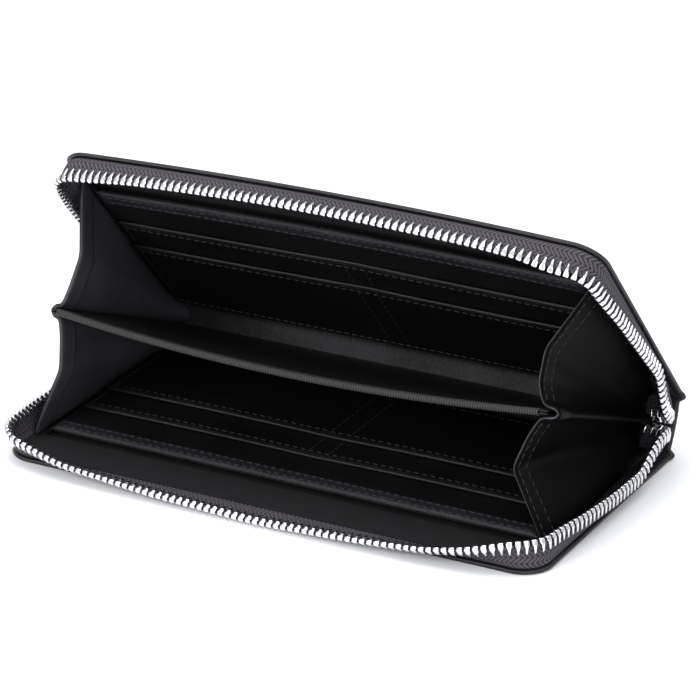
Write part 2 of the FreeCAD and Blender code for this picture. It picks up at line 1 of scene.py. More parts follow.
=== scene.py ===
"""Looks of the long zip-around wallet: leather, zip, linings, divider, gussets, metal, light and camera.

Lengths are in millimetres until a mesh is made. A soft piece is drawn in the closed wallet, where both
covers lie flat, and then opened about the two fold lines that the frame gives.
"""

import json
import math
import random

import bmesh
import bpy
import numpy as np
from mathutils import Matrix, Vector


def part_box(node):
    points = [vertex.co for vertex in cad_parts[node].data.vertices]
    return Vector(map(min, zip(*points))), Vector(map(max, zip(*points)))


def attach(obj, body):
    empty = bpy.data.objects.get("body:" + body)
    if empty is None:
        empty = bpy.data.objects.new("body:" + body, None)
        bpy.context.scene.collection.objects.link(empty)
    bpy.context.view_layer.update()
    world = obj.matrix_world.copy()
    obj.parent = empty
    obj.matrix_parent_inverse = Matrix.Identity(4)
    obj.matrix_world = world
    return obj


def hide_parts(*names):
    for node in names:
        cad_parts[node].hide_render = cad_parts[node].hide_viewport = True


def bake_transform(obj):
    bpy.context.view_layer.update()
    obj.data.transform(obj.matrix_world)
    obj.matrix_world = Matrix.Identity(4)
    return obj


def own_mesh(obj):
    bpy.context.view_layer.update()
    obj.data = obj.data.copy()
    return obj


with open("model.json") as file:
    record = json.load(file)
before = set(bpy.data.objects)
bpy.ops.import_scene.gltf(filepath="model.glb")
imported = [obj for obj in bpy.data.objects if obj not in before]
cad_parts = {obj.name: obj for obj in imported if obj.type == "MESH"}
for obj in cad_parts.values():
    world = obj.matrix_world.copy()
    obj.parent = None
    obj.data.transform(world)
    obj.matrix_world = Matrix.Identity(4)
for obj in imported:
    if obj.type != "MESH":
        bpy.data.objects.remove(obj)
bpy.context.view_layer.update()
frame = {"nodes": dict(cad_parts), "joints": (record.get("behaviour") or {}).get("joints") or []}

random.seed(7)
MM = 0.001

# ---- what the frame says


def node_box(node):
    """A CAD node's lowest and highest corners at rest, in millimetres."""
    low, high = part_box(node)
    return np.array(low) / MM, np.array(high) / MM


JOINTS = {joint["name"]: joint for joint in frame["joints"]}
LOWER_HINGE = np.array(JOINTS["spine_fold"]["pos_m"]) / MM
UPPER_HINGE = np.array(JOINTS["cover_fold"]["pos_m"]) / MM
HINGE_Y, HINGE_Z = LOWER_HINGE[1:]
SPINE_WIDTH = float(np.linalg.norm(UPPER_HINGE - LOWER_HINGE))
FOLD = math.radians(-JOINTS["spine_fold"]["range_deg"][0])
THICKNESS = SPINE_WIDTH + 2 * HINGE_Z
MIDDLE = THICKNESS / 2

COVER_LOW, COVER_HIGH = node_box("lower_outer_leather")
HALF = COVER_HIGH[0]
FRONT = COVER_LOW[1]
LEATHER = COVER_HIGH[2]
CORNER = 10.0
LINING_LOW, LINING_HIGH = node_box("lower_lining")
PANEL_LOW, PANEL_HIGH = node_box("lower_card_panel")
ROW_BOXES = [node_box("lower_first_slot_row"), node_box("lower_second_slot_row")]
DIVIDER_HALF = node_box("divider_upper_leaf")[1][0]
DIVIDER_DEPTH = 90.0
SIDES = ("lower", "upper")

# ---- opening the closed wallet


def turned(points, y, z, angle):
    """Points opened by an angle about the line along X through (y, z)."""
    moved = np.array(points, float)
    dy = moved[..., 1] - y
    dz = moved[..., 2] - z
    moved[..., 1] = y + dy * np.cos(angle) + dz * np.sin(angle)
    moved[..., 2] = z - dy * np.sin(angle) + dz * np.cos(angle)
    return moved


# How far each cover bows outwards in the middle of its front edge, and where the bow starts.
COVER_BOW = {"lower": 0.0, "upper": 2.6}
BOW_START = 6


def placed(points, side, share=1.0):
    """Points (x, y, height over a cover's outer face) in the half-open wallet.

    share is 1 for what moves with the cover and 0 for what moves with the spine.
    """
    local = np.array(points, float)
    reach = np.clip((HINGE_Y - BOW_START - local[..., 1]) / (HINGE_Y - FRONT), 0, 1)
    bow = COVER_BOW[side] * np.clip(1 - (local[..., 0] / HALF) ** 2, 0, 1) * reach**1.3
    local[..., 2] -= bow * share
    if side == "lower":
        return turned(local, HINGE_Y, HINGE_Z, (1 - share) * FOLD)
    local[..., 2] = THICKNESS - local[..., 2]
    half_open = turned(local, HINGE_Y, HINGE_Z + SPINE_WIDTH, share * FOLD)
    return turned(half_open, HINGE_Y, HINGE_Z, FOLD)


def on_spine(points):
    """Closed-wallet points that move with the spine."""
    return turned(points, HINGE_Y, HINGE_Z, FOLD)


def smooth(value):
    """A soft step from 0 to 1."""
    t = np.clip(value, 0, 1)
    return t * t * (3 - 2 * t)


# ---- mesh helpers


def shown(name, mesh, sharp=None):
    """An object in the scene for a mesh, shaded smooth, but for edges sharper than an angle in degrees."""
    mesh.polygons.foreach_set("use_smooth", [True] * len(mesh.polygons))
    if sharp is not None:
        mesh.set_sharp_from_angle(angle=math.radians(sharp))
    piece = bpy.data.objects.new(name, mesh)
    bpy.context.scene.collection.objects.link(piece)
    return piece


def make_mesh(name, points, faces, material, uvs=None, sharp=None):
    """A smooth-shaded object from points in millimetres, with face corners' UVs in millimetres."""
    mesh = bpy.data.meshes.new(name)
    mesh.from_pydata([tuple(p * MM) for p in np.asarray(points, float)], [], faces)
    if uvs is not None:
        layer = mesh.uv_layers.new(name="UVMap")
        loops = np.zeros(len(mesh.loops), np.int32)
        mesh.loops.foreach_get("vertex_index", loops)
        layer.data.foreach_set("uv", (np.asarray(uvs, float)[loops] * MM).astype(np.float32).ravel())
    work = bmesh.new()
    work.from_mesh(mesh)
    bmesh.ops.recalc_face_normals(work, faces=work.faces)
    work.to_mesh(mesh)
    work.free()
    mesh.materials.append(material)
    return shown(name, mesh, sharp)


def bend(piece):
    """The piece's place is baked into its mesh."""
    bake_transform(piece)
    return piece


def grid_normals(grid):
    along = np.gradient(grid, axis=0)
    across = np.gradient(grid, axis=1)
    normal = np.cross(along, across)
    return normal / np.maximum(np.linalg.norm(normal, axis=2, keepdims=True), 1e-9)


RIM_ROUNDING = 0.9


def sheet(name, grid, thickness, material):
    """A closed sheet with a rounded rim around a grid of points on its middle surface.

    Returns the piece, and for each of its points the (row, column) that it came from.
    """
    rows, columns = grid.shape[:2]
    normal = grid_normals(grid)
    half = np.broadcast_to(np.asarray(thickness, float) / 2, (rows, columns))[..., None]
    top = grid + normal * half
    bottom = grid - normal * half
    rim = [(0, j) for j in range(columns)]
    rim += [(i, columns - 1) for i in range(1, rows)]
    rim += [(rows - 1, j) for j in range(columns - 2, -1, -1)]
    rim += [(i, 0) for i in range(rows - 2, 0, -1)]
    rim_points = []
    for i, j in rim:
        inner_i = min(max(i, 1), rows - 2)
        inner_j = min(max(j, 1), columns - 2)
        outward = grid[i, j] - grid[inner_i, inner_j]
        outward = outward / max(np.linalg.norm(outward), 1e-9)
        rim_points.append(grid[i, j] + outward * half[i, j] * RIM_ROUNDING)
    points = np.concatenate([top.reshape(-1, 3), bottom.reshape(-1, 3), np.array(rim_points)])
    count = rows * columns
    faces = []
    for i in range(rows - 1):
        for j in range(columns - 1):
            a = i * columns + j
            b, c, d = a + 1, a + columns + 1, a + columns
            faces.append((a, b, c, d))
            faces.append((count + a, count + d, count + c, count + b))
    for k, (i, j) in enumerate(rim):
        n = (k + 1) % len(rim)
        a = i * columns + j
        b = rim[n][0] * columns + rim[n][1]
        faces.append((a, 2 * count + k, 2 * count + n, b))
        faces.append((count + a, count + b, 2 * count + n, 2 * count + k))
    step_v = np.linalg.norm(np.diff(grid, axis=0), axis=2).mean(axis=1)
    step_u = np.linalg.norm(np.diff(grid, axis=1), axis=2).mean(axis=0)
    v = np.concatenate([[0], np.cumsum(step_v)])
    u = np.concatenate([[0], np.cumsum(step_u)])
    uv_grid = np.stack(np.meshgrid(u, v), axis=2)
    source = [(i, j) for i in range(rows) for j in range(columns)] * 2 + rim
    uvs = np.array([uv_grid[i, j] for i, j in source])
    return make_mesh(name, points, faces, material, uvs), source


def bent_sheet(name, grid, thickness, material):
    """A sheet around a grid that is already placed, with its place baked into its mesh."""
    piece, source = sheet(name, grid, thickness, material)
    return bend(piece)


LONGEST_EASE = 0.48


def rounded_path(corners, radius, samples):
    """A line through corner points whose bends are eased within a radius.

    An ease takes up at most about half of the shorter leg beside it.
    """
    corners = [np.array(p, float) for p in corners]
    path = [corners[0]]
    for before, corner, after in zip(corners, corners[1:], corners[2:]):
        to_before = before - corner
        to_after = after - corner
        start = corner + to_before * min(radius / np.linalg.norm(to_before), LONGEST_EASE)
        end = corner + to_after * min(radius / np.linalg.norm(to_after), LONGEST_EASE)
        for t in np.linspace(0, 1, samples):
            path.append(start * (1 - t) ** 2 + corner * 2 * t * (1 - t) + end * t**2)
    path.append(corners[-1])
    return np.array(path)


def resampled(path, count):
    """The same line with evenly spaced points."""
    lengths = np.concatenate([[0], np.cumsum(np.linalg.norm(np.diff(path, axis=0), axis=1))])
    stops = np.linspace(0, lengths[-1], count)
    return np.stack([np.interp(stops, lengths, path[:, k]) for k in range(3)], axis=1)


# ---- materials


class Nodes:
    """A small builder for one material's node tree."""

    def __init__(self, name):
        self.material = bpy.data.materials.new(name)
        self.material.use_nodes = True
        self.tree = self.material.node_tree
        self.shader = self.tree.nodes["Principled BSDF"]

    def add(self, kind, **values):
        node = self.tree.nodes.new(kind)
        for key, value in values.items():
            if key in node.inputs:
                node.inputs[key].default_value = value
            else:
                setattr(node, key, value)
        return node

    def link(self, source, target):
        self.tree.links.new(source, target)

    def math(self, operation, a, b=0.0):
        node = self.tree.nodes.new("ShaderNodeMath")
        node.operation = operation
        for socket, value in zip(node.inputs, (a, b)):
            if isinstance(value, (int, float)):
                socket.default_value = value
            else:
                self.link(value, socket)
        return node.outputs[0]

    def ramp(self, factor, stops):
        node = self.tree.nodes.new("ShaderNodeValToRGB")
        self.link(factor, node.inputs[0])
        while len(node.color_ramp.elements) < len(stops):
            node.color_ramp.elements.new(0.5)
        for element, (position, colour) in zip(node.color_ramp.elements, stops):
            element.position = position
            element.color = (*colour, 1.0) if len(colour) == 3 else colour
        return node.outputs["Color"]

    def bump(self, height, strength, distance):
        node = self.add("ShaderNodeBump", Strength=strength, Distance=distance)
        self.link(height, node.inputs["Height"])
        return node.outputs["Normal"]

    def place(self, kind):
        return self.add("ShaderNodeTexCoord").outputs[kind]


def leather(name, dark, light, cell, depth, roughness, specular, coat=0.0):
    """Dyed leather: pebbled cells of about the given size, fine pores, and colour that varies softly."""
    n = Nodes(name)
    where = n.place("Object")
    cells = n.add("ShaderNodeTexVoronoi", feature="SMOOTH_F1", Scale=1 / (cell * MM), Smoothness=0.6)
    pores = n.add("ShaderNodeTexNoise", Scale=1 / (cell * MM * 0.4), Detail=4.0, Roughness=0.6)
    cloud = n.add("ShaderNodeTexNoise", Scale=45.0, Detail=3.0)
    for texture in (cells, pores, cloud):
        n.link(where, texture.inputs["Vector"])
    pebbles = cells.outputs["Distance"]
    mix = n.math("ADD", n.math("MULTIPLY", pebbles, 0.7), n.math("MULTIPLY", pores.outputs[0], 0.5))
    n.link(n.bump(mix, 0.55, depth * MM), n.shader.inputs["Normal"])
    tone = n.math("ADD", n.math("MULTIPLY", cloud.outputs[0], 0.7), n.math("MULTIPLY", pebbles, 0.3))
    n.link(n.ramp(tone, [(0.3, dark), (0.75, light)]), n.shader.inputs["Base Color"])
    rough = n.math("ADD", n.math("MULTIPLY", pores.outputs[0], 0.14), roughness - 0.07)
    n.link(rough, n.shader.inputs["Roughness"])
    n.shader.inputs["Specular IOR Level"].default_value = specular
    n.shader.inputs["Coat Weight"].default_value = coat
    n.shader.inputs["Coat Roughness"].default_value = 0.35
    return n.material


def woven(name, dark, light, pitch, band, depth):
    """Herringbone tape: slanted yarns that turn back in bands, from the UVs along and across the tape."""
    n = Nodes(name)
    split = n.add("ShaderNodeSeparateXYZ")
    n.link(n.place("UV"), split.inputs[0])
    along = n.math("DIVIDE", split.outputs[0], pitch * MM)
    across = n.math("DIVIDE", split.outputs[1], band * MM)
    zigzag = n.math("PINGPONG", across, 1.0)
    phase = n.math("MULTIPLY", n.math("ADD", along, n.math("MULTIPLY", zigzag, band / pitch)), 2 * math.pi)
    yarn = n.math("ADD", n.math("MULTIPLY", n.math("SINE", phase), 0.5), 0.5)
    off_middle = n.math("SUBTRACT", n.math("MULTIPLY", zigzag, 2.0), 1.0)
    seam = n.math("POWER", n.math("ABSOLUTE", off_middle), 6.0)
    height = n.math("SUBTRACT", yarn, n.math("MULTIPLY", seam, 0.5))
    fuzz = n.add("ShaderNodeTexNoise", Scale=2600.0, Detail=2.0)
    n.link(n.place("Object"), fuzz.inputs["Vector"])
    height = n.math("ADD", height, n.math("MULTIPLY", fuzz.outputs[0], 0.35))
    n.link(n.bump(height, 0.8, depth * MM), n.shader.inputs["Normal"])
    n.link(n.ramp(height, [(0.1, dark), (0.95, light)]), n.shader.inputs["Base Color"])
    n.shader.inputs["Roughness"].default_value = 0.78
    n.shader.inputs["Specular IOR Level"].default_value = 0.3
    return n.material


def ribbed(name, dark, light, pitch, depth, specular):
    """Corded binding: fine ribs across its length."""
    n = Nodes(name)
    split = n.add("ShaderNodeSeparateXYZ")
    n.link(n.place("UV"), split.inputs[0])
    phase = n.math("MULTIPLY", n.math("DIVIDE", split.outputs[0], pitch * MM), 2 * math.pi)
    ribs = n.math("ADD", n.math("MULTIPLY", n.math("SINE", phase), 0.5), 0.5)
    grain = n.add("ShaderNodeTexNoise", Scale=1800.0, Detail=3.0)
    n.link(n.place("Object"), grain.inputs["Vector"])
    height = n.math("ADD", ribs, n.math("MULTIPLY", grain.outputs[0], 0.4))
    n.link(n.bump(height, 0.7, depth * MM), n.shader.inputs["Normal"])
    n.link(n.ramp(height, [(0.2, dark), (1.0, light)]), n.shader.inputs["Base Color"])
    n.shader.inputs["Roughness"].default_value = 0.6
    n.shader.inputs["Specular IOR Level"].default_value = specular
    return n.material


def metal(name, colour, roughness, scratch):
    """Plated metal with fine handling marks."""
    n = Nodes(name)
    marks = n.add("ShaderNodeTexNoise", Scale=900.0, Detail=5.0, Roughness=0.7)
    n.link(n.place("Object"), marks.inputs["Vector"])
    n.link(n.bump(marks.outputs[0], scratch, 0.02 * MM), n.shader.inputs["Normal"])
    rough = n.math("ADD", n.math("MULTIPLY", marks.outputs[0], 0.12), roughness - 0.06)
    n.link(rough, n.shader.inputs["Roughness"])
    tint = n.ramp(marks.outputs[0], [(0.2, tuple(c * 0.88 for c in colour)), (0.8, colour)])
    n.link(tint, n.shader.inputs["Base Color"])
    n.shader.inputs["Metallic"].default_value = 1.0
    return n.material


def fabric(name, dark, light, pitch, depth):
    """Plain woven lining cloth."""
    n = Nodes(name)
    where = n.place("Object")
    split = n.add("ShaderNodeSeparateXYZ")
    n.link(where, split.inputs[0])
    waves = []
    for axis in (0, 1):
        phase = n.math("MULTIPLY", split.outputs[axis], 2 * math.pi / (pitch * MM))
        waves.append(n.math("SINE", phase))
    weave = n.math("ADD", n.math("MULTIPLY", n.math("MULTIPLY", waves[0], waves[1]), 0.5), 0.5)
    cloud = n.add("ShaderNodeTexNoise", Scale=160.0, Detail=4.0)
    n.link(where, cloud.inputs["Vector"])
    height = n.math("ADD", n.math("MULTIPLY", weave, 0.7), n.math("MULTIPLY", cloud.outputs[0], 0.6))
    n.link(n.bump(height, 0.6, depth * MM), n.shader.inputs["Normal"])
    n.link(n.ramp(height, [(0.2, dark), (1.0, light)]), n.shader.inputs["Base Color"])
    n.shader.inputs["Roughness"].default_value = 0.82
    n.shader.inputs["Specular IOR Level"].default_value = 0.2
    return n.material


OUTER_LEATHER = leather(
    "outer_leather", dark=(0.006, 0.005, 0.0065), light=(0.022, 0.0195, 0.024),
    cell=1.0, depth=0.3, roughness=0.45, specular=0.32, coat=0.15,
)
SMOOTH_LEATHER = leather(
    "smooth_leather", dark=(0.003, 0.003, 0.0033), light=(0.007, 0.0065, 0.0075),
    cell=0.45, depth=0.04, roughness=0.42, specular=0.26,
)
GUSSET_LEATHER = leather(
    "gusset_leather", dark=(0.0012, 0.0011, 0.0013), light=(0.0036, 0.0034, 0.004),
    cell=0.5, depth=0.05, roughness=0.5, specular=0.035,
)
# A lighter copy of the gusset leather for the faces that look into the wallet: painted light, standing in for
# light thrown back onto them by the wallet's cards and notes, which are left out.
GUSSET_PAINTED_LIGHT = leather(
    "gusset_painted_light", dark=(0.030, 0.0275, 0.032), light=(0.060, 0.0555, 0.0645),
    cell=0.5, depth=0.05, roughness=0.42, specular=0.4,
)
COARSE_LEATHER = leather(
    "coarse_leather", dark=(0.005, 0.005, 0.0055), light=(0.034, 0.032, 0.036),
    cell=0.9, depth=0.25, roughness=0.55, specular=0.15,
)
TAPE = woven(
    "zip_tape", dark=(0.014, 0.012, 0.0155), light=(0.084, 0.074, 0.090), pitch=1.6, band=2.2, depth=0.24
)
BINDING = ribbed(
    "divider_binding", dark=(0.006, 0.0055, 0.0055), light=(0.045, 0.041, 0.041),
    pitch=0.9, depth=0.2, specular=0.25,
)
LINING = fabric(
    "lining_cloth", dark=(0.003, 0.003, 0.0035), light=(0.012, 0.0115, 0.013), pitch=0.55, depth=0.08
)
THREAD = ribbed(
    "thread", dark=(0.010, 0.0095, 0.0105), light=(0.034, 0.032, 0.036), pitch=0.3, depth=0.05, specular=0.3
)
TEETH = metal("teeth_metal", colour=(0.88, 0.88, 0.89), roughness=0.22, scratch=0.25)
NICKEL = metal("slider_nickel", colour=(0.80, 0.80, 0.81), roughness=0.17, scratch=0.12)
BOARD = fabric("fibre_board", dark=(0.03, 0.028, 0.025), light=(0.06, 0.055, 0.05), pitch=0.8, depth=0.05)

# ---- stitches


STITCH_PITCH = 3.0
STITCH_LENGTH = 2.1
STITCH_WIDTH = 0.42
STITCH_RISE = 0.16
STITCH_SLANT = 0.12
STITCH_SECTIONS = ((-0.5, 0.25), (-0.38, 0.85), (0.0, 1.0), (0.38, 0.85), (0.5, 0.25))


def stitches(name, paths):
    """Short thread stitches laid along paths of (points, normals, shares), half sunk into the leather.

    Returns the piece and the share of each of its points.
    """
    ring = [(math.cos(a), math.sin(a)) for a in np.linspace(0, 2 * math.pi, 7)[:-1]]
    points, faces, shares = [], [], []
    for line, normals, share in paths:
        steps = np.concatenate([[0], np.cumsum(np.linalg.norm(np.diff(line, axis=0), axis=1))])

        def on_line(values, at):
            return np.array([np.interp(at, steps, values[:, c]) for c in range(3)])

        count = int(steps[-1] / STITCH_PITCH)
        for k in range(count):
            at = (k + 0.5) * steps[-1] / count
            here = on_line(line, at)
            up = on_line(normals, at)
            forward = on_line(line, at + 0.3) - on_line(line, at - 0.3)
            forward = forward / np.linalg.norm(forward)
            up = up / np.linalg.norm(up)
            side = np.cross(forward, up)
            forward = forward + side * STITCH_SLANT
            first = len(points)
            for reach, size in STITCH_SECTIONS:
                for c, s in ring:
                    offset = side * c * STITCH_WIDTH / 2 * size
                    offset = offset + up * (STITCH_RISE * 0.4 + s * STITCH_RISE * size)
                    points.append(here + forward * reach * STITCH_LENGTH + offset)
                    shares.append(np.interp(at, steps, share))
            n = len(ring)
            for i in range(len(STITCH_SECTIONS) - 1):
                for j in range(n):
                    a = first + i * n + j
                    b = first + i * n + (j + 1) % n
                    faces.append((a, b, b + n, a + n))
            faces.append(tuple(first + j for j in range(n)))
            faces.append(tuple(first + (len(STITCH_SECTIONS) - 1) * n + j for j in range(n)))
    return make_mesh(name, points, faces, THREAD), shares


def on_cover(piece, side, slot, *nodes):
    """The piece moves with its cover, and stands for the CAD nodes named."""
    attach(piece, f"{side}_cover")
    if nodes:
        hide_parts(*nodes)


def cover_line(x_values, y_values, height, side):
    """A stitch path on a cover, at a height over its outer face: points, normals and shares."""
    flat = np.stack([x_values, y_values, np.broadcast_to(height, len(x_values))], axis=1)
    raised = flat + np.array([0, 0, 1.0])
    line = placed(flat, side)
    return line, placed(raised, side) - line, np.ones(len(line))


# ---- flat pieces of a cover


COLUMN_CROWDING = 0.82


def plan_grid(half, front, back, radius, columns=61, rows=40):
    """Plan points (x, y) of a rectangle with rounded front corners, as rows from front to back.

    The columns crowd a little towards both ends.
    """
    turn = np.linspace(0, math.pi / 2, 14)
    corner_y = front + radius * (1 - np.cos(turn))
    corner_half = half - radius * (1 - np.sin(turn))
    straight_y = np.linspace(front + radius, back, rows)[1:]
    y = np.concatenate([corner_y, straight_y])
    widths = np.concatenate([corner_half, np.full(len(straight_y), half)])
    widest = math.pi / 2 * COLUMN_CROWDING
    spread = np.sin(np.linspace(-1, 1, columns) * widest) / math.sin(widest)
    grid = np.zeros((len(y), columns, 3))
    grid[..., 0] = widths[:, None] * spread[None, :]
    grid[..., 1] = y[:, None]
    return grid


def edge_line(half, front, back, radius, inset, samples=160):
    """The outline's three sides, drawn in by an inset, from the right back to the left back."""
    r = radius - inset
    h, f = half - inset, front + inset
    turn = np.linspace(0, math.pi / 2, 16)
    right = [(h, back)] + [(h - r + r * math.cos(a), f + r - r * math.sin(a)) for a in turn]
    left = [(-(h - r) - r * math.sin(a), f + r - r * math.cos(a)) for a in turn] + [(-h, back)]
    path = np.array([(x, y, 0.0) for x, y in right + left])
    return resampled(path, samples)


FOLD_RADIUS = 2.0
FOLD_RUN = 6.0
SPINE_BULGE = 0.9
SPINE_NARROWING = 1.0
NARROWING_RUN = 1.2
EAR_RADIUS = 1.5
EAR_ROOT = 0.3
EAR_FLATTENING = 0.9
EDGE_STITCH_INSET = 3.2
UNDERSIDE_STITCH_SINK = 0.22


def fold_profile(level):
    """The (y, z) line from the cover round the fold and up to the middle of the spine.

    Returns the line, its flat end, how many of its points are flat, and how many turn.
    """
    flat_end = HINGE_Y + LEATHER / 2 - FOLD_RADIUS
    turn = np.linspace(0, math.pi / 2, 10)[1:]
    profile = [(flat_end - FOLD_RUN + run, level) for run in np.linspace(0, FOLD_RUN, 13)[1:]]
    flat_count = len(profile)
    profile += [(flat_end + FOLD_RADIUS * math.sin(a), level + FOLD_RADIUS * (1 - math.cos(a))) for a in turn]
    for z in np.linspace(level + FOLD_RADIUS, MIDDLE, 12)[1:]:
        rise = (z - level - FOLD_RADIUS) / (MIDDLE - level - FOLD_RADIUS)
        profile.append((flat_end + FOLD_RADIUS + SPINE_BULGE * math.sin(math.pi / 2 * rise), z))
    return np.array(profile), flat_end, flat_count, len(turn)


def outer_leather(side):
    """Half of the wallet's outer leather: one cover, its fold, and half of the spine.

    A small rounded ear stands out at each end of the fold, where the spine is narrower than the cover.
    """
    level = LEATHER / 2
    profile, flat_end, flat_count, turn_count = fold_profile(level)
    cover = plan_grid(HALF, FRONT, flat_end - FOLD_RUN, CORNER)
    cover[..., 2] = level
    steps = np.concatenate([[0], np.cumsum(np.linalg.norm(np.diff(profile, axis=0), axis=1))])
    past_fold = steps - steps[flat_count + turn_count // 2]
    narrowed = HALF - SPINE_NARROWING * smooth(past_fold / NARROWING_RUN)
    roundness = np.sqrt(np.clip(1 - (past_fold / EAR_RADIUS) ** 2, 0, 1))
    ear = HALF - EAR_ROOT + EAR_RADIUS * roundness * EAR_FLATTENING
    half = np.where(abs(past_fold) < EAR_RADIUS, np.maximum(narrowed, ear), narrowed)
    folded = np.repeat(cover[-1:], len(profile), axis=0)
    folded[..., 0] *= (half / HALF)[:, None]
    folded[..., 1] = profile[:, :1]
    folded[..., 2] = profile[:, 1:]
    shares = np.ones(len(cover) + len(profile))
    in_turn = np.arange(1, len(profile) - flat_count + 1) / turn_count
    shares[len(cover) + flat_count :] = 1 - smooth(in_turn)
    grid = np.concatenate([cover, folded])
    share_grid = np.repeat(shares[:, None], grid.shape[1], axis=1)
    grid = placed(grid, side, share_grid)
    piece = bent_sheet(f"{side}_cover_leather", grid, LEATHER, OUTER_LEATHER)
    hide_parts(f"{side}_outer_leather")
    if side == "lower":
        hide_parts("spine_leather")
    line = edge_line(HALF, FRONT, HINGE_Y - 4, CORNER, EDGE_STITCH_INSET)
    paths = []
    outside = UNDERSIDE_STITCH_SINK if side == "lower" else 0.0
    for height, up in ((outside, -1.0), (LEATHER, 1.0)):
        flat = line.copy()
        flat[:, 2] = height
        points = placed(flat, side)
        normals = placed(flat + np.array([0, 0, up]), side) - points
        paths.append((points, normals, np.ones(len(points))))
    thread, _ = stitches(f"{side}_edge_stitches", paths)
    on_cover(thread, side, "grained_leather")


def flat_layer(name, side, low, high, radius, material, slot, node):
    """A flat board or cloth layer that fills a CAD node's box on its cover."""
    grid = plan_grid(high[0], low[1], high[1], radius, rows=30)
    grid[..., 2] = (low[2] + high[2]) / 2
    piece, _ = sheet(name, placed(grid, side), high[2] - low[2], material)
    on_cover(piece, side, slot, node)
    return piece


def cover_inside(side):
    """Stiffener and lining of a cover."""
    low, high = node_box("lower_cover_board")
    name = f"{side}_stiffener"
    flat_layer(name, side, low, high, CORNER - 9, BOARD, "board", f"{side}_cover_board")
    lining = flat_layer(
        f"{side}_lining_cloth",
        side,
        LINING_LOW,
        LINING_HIGH,
        CORNER - 2,
        LINING,
        "lining_fabric",
        f"{side}_lining",
    )


SEAM_DROP = 2.6
PANEL_SKIN = 0.8
HEM_WIDTH = 6.0
HEM_INSET = 3.2
HEM_LEAD = 0.3
HEM_TURN = 0.9
SLOT_GAP = 7.5
SLOT_INSET = 2.8
SLOT_LIFT = 0.45
SLOT_EDGE_WIDTH = 2.4
SLOT_STITCH_SETBACK = 3.4


def card_panel(side):
    """The card panel: an open-fronted note pocket, sewn down at its sides and back, and its front hem."""
    half, front, back = PANEL_HIGH[0], PANEL_LOW[1], PANEL_HIGH[1]
    floor = LINING_HIGH[2]
    top = ROW_BOXES[0][0][2]
    middle_x = np.linspace(-half + 6, half - 6, 41)
    x = np.concatenate([np.linspace(-half, -half + 3, 8), middle_x, np.linspace(half - 3, half, 8)])
    y = np.concatenate([np.linspace(front, back - 3, 36), np.linspace(back - 2.6, back, 7)])
    grid = np.zeros((len(y), len(x), 3))
    grid[..., 0] = x[None, :]
    grid[..., 1] = y[:, None]
    down = np.minimum(smooth((half - abs(x)) / SEAM_DROP)[None, :], smooth((back - y) / SEAM_DROP)[:, None])
    low_level = floor + PANEL_SKIN / 2 + 0.1
    grid[..., 2] = low_level + (top - PANEL_SKIN / 2 - low_level) * down
    piece, _ = sheet(f"{side}_note_panel", placed(grid, side), PANEL_SKIN, SMOOTH_LEATHER)
    on_cover(piece, side, "smooth_leather", f"{side}_card_panel")
    inner = half - HEM_INSET
    hem_grid = plan_grid(inner, front - HEM_LEAD, front + HEM_WIDTH, 0.5, rows=10)
    hem_grid[..., 2] = top + 0.12
    nose = np.clip((hem_grid[..., 1] - front + HEM_LEAD) / 1.2, 0, 1)
    hem_grid[..., 2] -= HEM_TURN * (1 - smooth(nose))
    hem, _ = sheet(f"{side}_panel_hem", placed(hem_grid, side), 0.7, OUTER_LEATHER)
    on_cover(hem, side, "grained_leather")
    x_line = np.linspace(-inner + 2, inner - 2, 60)
    paths = []
    for offset in (1.6, HEM_WIDTH - 1.0):
        paths.append(cover_line(x_line, np.full(60, front + offset), top + 0.47, side))
    thread, _ = stitches(f"{side}_hem_stitches", paths)
    on_cover(thread, side, "grained_leather")


def slot_rise(x, half):
    """How far a slot row's front edge lifts at x: most in the middle of each of its two columns."""
    column = np.clip((abs(x) - SLOT_GAP / 2) / (half - SLOT_GAP / 2), 0, 1)
    return SLOT_LIFT * np.sin(column * math.pi) ** 0.7


def slot_row(side, name, low, high, stop):
    """One row of card slots: a strip of leather across both columns, its edge band and its stitches.

    stop is how far back the stitches between the slots run.
    """
    front, back = low[1], high[1]
    half = high[0] - SLOT_INSET
    x = np.linspace(-half, half, 81)
    y = front + (back - front) * np.linspace(0, 1, 30) ** 1.6
    grid = np.zeros((len(y), len(x), 3))
    grid[..., 0] = x[None, :]
    grid[..., 1] = y[:, None]
    grid[..., 2] = (low[2] + high[2]) / 2 + slot_rise(x, half)[None, :] * np.exp(-(y - front) / 9)[:, None]
    piece, _ = sheet(f"{side}_{name}_row", placed(grid, side), high[2] - low[2] - 0.1, SMOOTH_LEATHER)
    on_cover(piece, side, "smooth_leather", f"{side}_{name}_slot_row")
    band_grid = grid[:6].copy()
    band_grid[..., 1] = (front - 0.15 + np.linspace(0, SLOT_EDGE_WIDTH, 6))[:, None]
    band_grid[..., 2] += 0.36
    band, _ = sheet(f"{side}_{name}_row_edge", placed(band_grid, side), 0.35, OUTER_LEATHER)
    on_cover(band, side, "grained_leather")
    top = high[2]
    line_x = np.linspace(-half + 1, half - 1, 60)
    along_front = np.full(60, front + SLOT_STITCH_SETBACK)
    paths = [cover_line(line_x, along_front, top + slot_rise(line_x, half) * 0.68, side)]
    for x_stitch in (-half + 1.4, -SLOT_GAP / 2, SLOT_GAP / 2, half - 1.4):
        y_line = np.linspace(front + 1, stop - 1, 20)
        paths.append(cover_line(np.full(20, x_stitch), y_line, top, side))
    if name == "second":
        paths.append(cover_line(line_x, np.full(60, back - 1.8), top, side))
    thread, _ = stitches(f"{side}_{name}_row_stitches", paths)
    on_cover(thread, side, "smooth_leather")


def slot_rows(side):
    """Two rows of card slots, one behind the other."""
    first, second = ROW_BOXES
    slot_row(side, "first", *first, second[0][1])
    slot_row(side, "second", *second, second[1][1])


